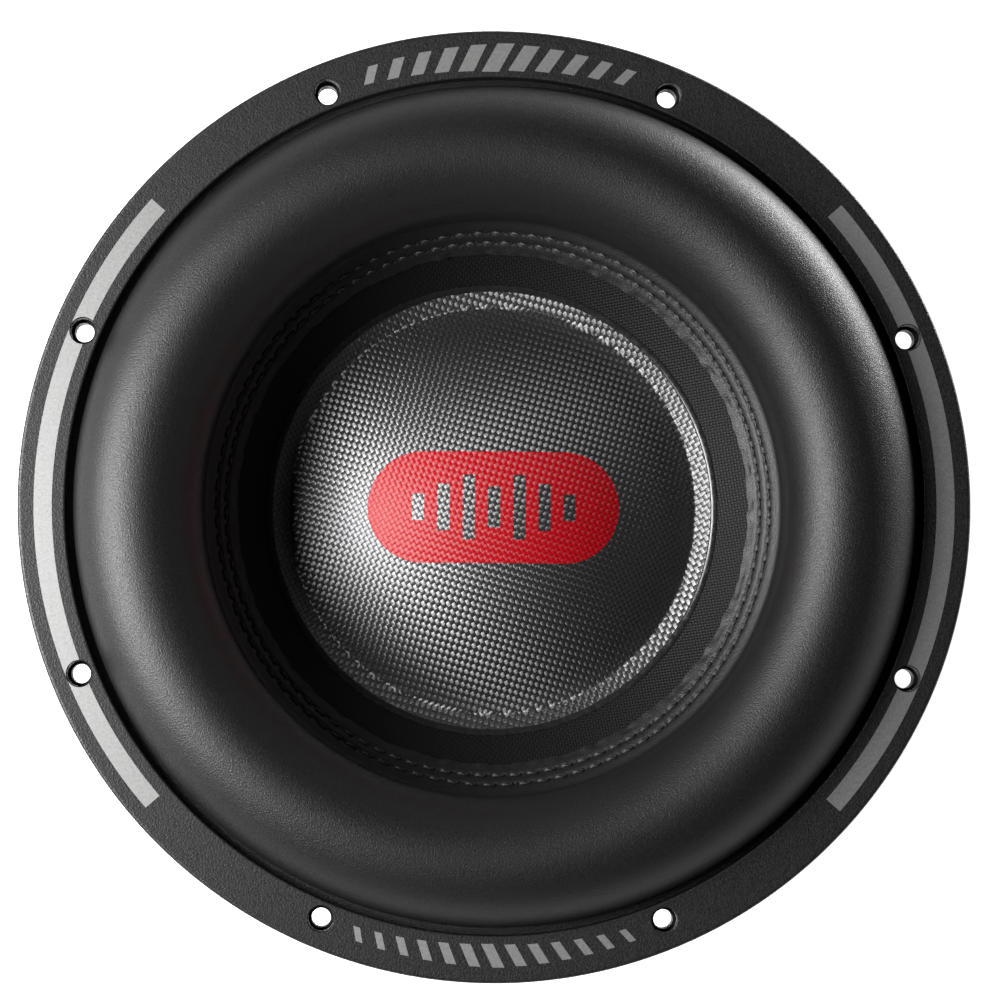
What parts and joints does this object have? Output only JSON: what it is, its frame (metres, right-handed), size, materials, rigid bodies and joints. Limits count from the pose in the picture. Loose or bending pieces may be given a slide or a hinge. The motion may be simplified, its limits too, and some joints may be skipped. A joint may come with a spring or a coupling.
{
  "type": "car subwoofer driver",
  "caption": "High-power car subwoofer driver with a cast basket, high-roll surround, stitched cone, woven dome cap, dual voice coil, ferrite motor and push terminals.",
  "frame": {"origin": "centre of the bolt circle on the rear face of the mounting gasket, the plane of the baffle", "axes": "+Z along the cone's axis, out of the front; the two terminal blocks lie along +Y and -Y"},
  "size_m": [0.32, 0.32, 0.226],
  "materials": {
    "trim_coat": "satin",
    "basket_coat": "satin",
    "gasket_foam": "matte",
    "surround_rubber": "matte",
    "stitch_thread": "satin",
    "cone_pulp": "matte",
    "facing_cloth": "satin",
    "cap_glass_cloth": "gloss",
    "glue": "satin",
    "former_film": "satin",
    "collar_paper": "matte",
    "coil_copper": "satin",
    "spider_cloth": "matte",
    "spacer_plastic": "matte",
    "steel_zinc": "satin",
    "ferrite": "matte",
    "alu_ring": "satin",
    "boot_rubber": "matte",
    "screen_steel": "satin",
    "bolt_black_oxide": "satin",
    "block_nylon": "satin",
    "contact_gold": "polished",
    "screw_zinc": "satin",
    "button_red": "gloss",
    "button_black": "gloss",
    "spring_steel": "polished",
    "tinsel_braid": "satin"
  },
  "bodies": {
    "driver_frame": {"trim_ring": "trim_coat", "basket": "basket_coat", "mounting_gasket": "gasket_foam", "spider_spacer": "spacer_plastic", "top_plate": "steel_zinc", "front_magnet": "ferrite", "rear_magnet": "ferrite", "t_yoke": "steel_zinc", "shorting_ring": "alu_ring", "magnet_boot": "boot_rubber", "vent_screen": "screen_steel", "motor_bolts": "bolt_black_oxide", "coil_a_terminal_block": "block_nylon", "coil_b_terminal_block": "block_nylon", "coil_a_contacts": "contact_gold", "coil_b_contacts": "contact_gold", "terminal_screws": "screw_zinc", "coil_a_plus_spring": "spring_steel", "coil_a_minus_spring": "spring_steel", "coil_b_plus_spring": "spring_steel", "coil_b_minus_spring": "spring_steel", "coil_a_plus_lead": "tinsel_braid", "coil_a_minus_lead": "tinsel_braid", "coil_b_plus_lead": "tinsel_braid", "coil_b_minus_lead": "tinsel_braid"},
    "moving_cone": {"surround": "surround_rubber", "surround_stitching": "stitch_thread", "cone": "cone_pulp", "cone_facing": "facing_cloth", "dust_cap": "cap_glass_cloth", "cap_glue_bead": "glue", "coil_former": "former_film", "former_collar": "collar_paper", "voice_coil": "coil_copper", "neck_glue_fillet": "glue", "upper_spider": "spider_cloth", "lower_spider": "spider_cloth"},
    "coil_a_plus_button": {"coil_a_plus_button": "button_red"},
    "coil_a_minus_button": {"coil_a_minus_button": "button_black"},
    "coil_b_plus_button": {"coil_b_plus_button": "button_red"},
    "coil_b_minus_button": {"coil_b_minus_button": "button_black"}
  },
  "joints": [
    {"name": "cone_stroke", "type": "slide", "parent": "driver_frame", "child": "moving_cone", "axis": [0, 0, 1], "range_m": [-0.022, 0.022], "stiffness_N_per_m": 9000, "deforming": ["surround", "upper_spider", "lower_spider", "coil_a_plus_lead", "coil_a_minus_lead", "coil_b_plus_lead", "coil_b_minus_lead"]},
    {"name": "coil_a_plus_press", "type": "slide", "parent": "driver_frame", "child": "coil_a_plus_button", "axis": [0, 0, -1], "range_m": [0, 0.003], "stiffness_N_per_m": 300, "springref_m": -0.002, "deforming": ["coil_a_plus_spring"]},
    {"name": "coil_a_minus_press", "type": "slide", "parent": "driver_frame", "child": "coil_a_minus_button", "axis": [0, 0, -1], "range_m": [0, 0.003], "stiffness_N_per_m": 300, "springref_m": -0.002, "deforming": ["coil_a_minus_spring"]},
    {"name": "coil_b_plus_press", "type": "slide", "parent": "driver_frame", "child": "coil_b_plus_button", "axis": [0, 0, -1], "range_m": [0, 0.003], "stiffness_N_per_m": 300, "springref_m": -0.002, "deforming": ["coil_b_plus_spring"]},
    {"name": "coil_b_minus_press", "type": "slide", "parent": "driver_frame", "child": "coil_b_minus_button", "axis": [0, 0, -1], "range_m": [0, 0.003], "stiffness_N_per_m": 300, "springref_m": -0.002, "deforming": ["coil_b_minus_spring"]}
  ]
}
